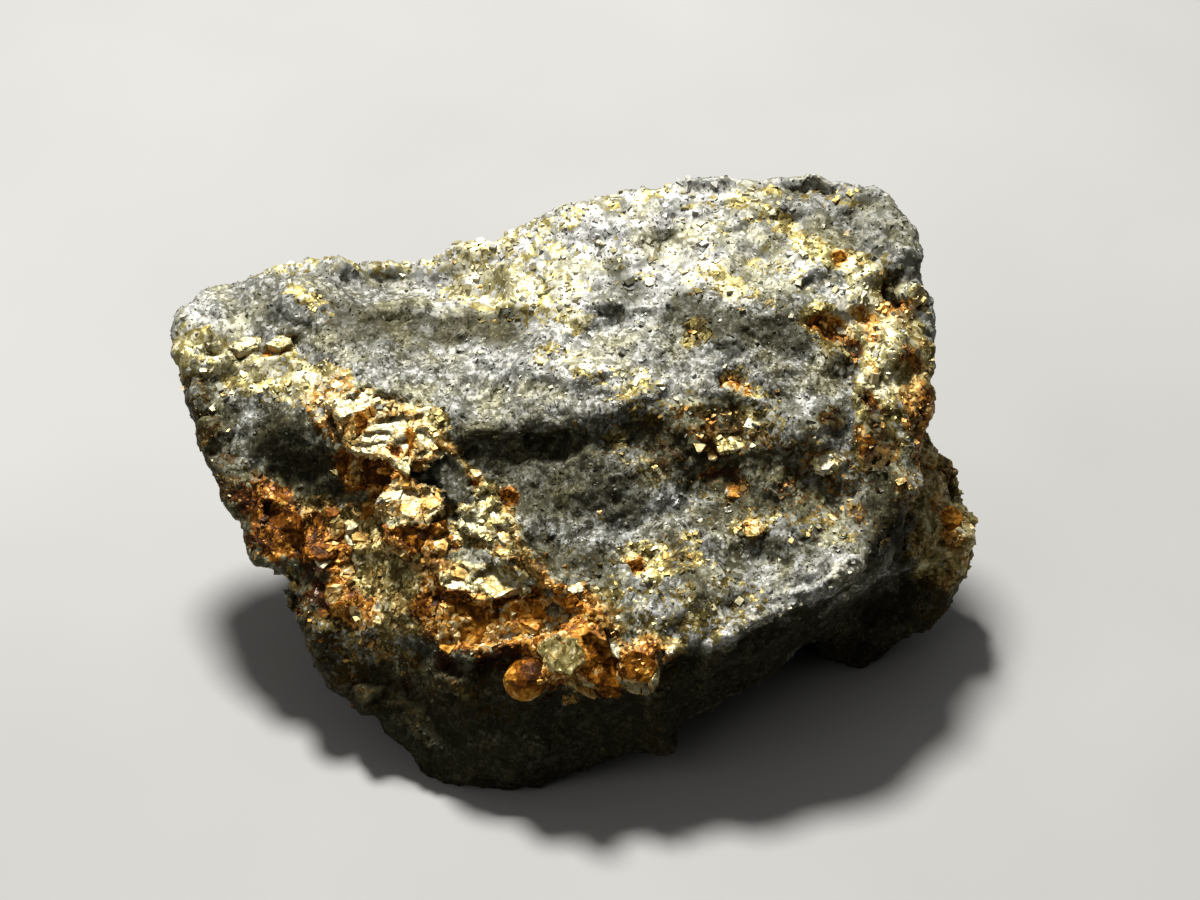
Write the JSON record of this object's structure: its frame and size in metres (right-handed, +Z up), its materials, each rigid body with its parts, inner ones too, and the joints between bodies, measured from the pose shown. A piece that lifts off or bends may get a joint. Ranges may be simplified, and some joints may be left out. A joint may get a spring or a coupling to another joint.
{
  "type": "pyrite with magnetite specimen",
  "caption": "Angular hand specimen of granular magnetite with blocky pyrite crystals grown through it, broken flat underneath so that it rests steadily.",
  "frame": {"origin": "middle of the bounding box's footprint, on the surface that the specimen rests on", "axes": "+X along the specimen to its lobed end, +Y to its tall back edge, +Z up from the flat breaks it rests on"},
  "size_m": [0.0524, 0.0332, 0.0254],
  "materials": {
    "ore": "dull granular break with brassy crystal faces"
  },
  "bodies": {
    "root": {"pyrite_magnetite_ore": "ore"}
  },
  "joints": []
}
